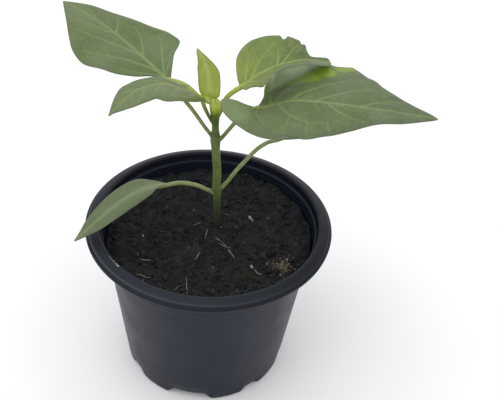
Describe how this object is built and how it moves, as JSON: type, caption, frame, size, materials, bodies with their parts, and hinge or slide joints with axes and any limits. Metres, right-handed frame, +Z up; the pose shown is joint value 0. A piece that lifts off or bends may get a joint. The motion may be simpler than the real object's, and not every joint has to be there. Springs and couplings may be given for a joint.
{
  "type": "potted pepper seedling",
  "caption": "Young pepper plant with heart-shaped leaves on an upright stem, growing in dark soil in a round tapered black plastic nursery pot with a rolled rim.",
  "frame": {"origin": "centre of the underside of the pot, at the level of its feet", "axes": "+Z up along the pot's axis, +X to the right and +Y to the back as seen from the front"},
  "size_m": [0.1586, 0.12, 0.177],
  "materials": {
    "black_plastic": "satin moulded plastic",
    "dark_soil": "matte crumbly peat",
    "stem_green": "smooth living stem",
    "leaf_green": "satin leaf surface",
    "young_leaf_green": "satin leaf surface"
  },
  "bodies": {
    "root": {"pot": "black_plastic", "soil": "dark_soil", "stem": "stem_green", "cotyledon_left": "leaf_green", "cotyledon_right": "leaf_green", "leaf_left_large": "leaf_green", "leaf_right_large": "leaf_green", "leaf_left_small": "leaf_green", "leaf_right_upper": "leaf_green", "leaf_young": "young_leaf_green"}
  },
  "joints": []
}
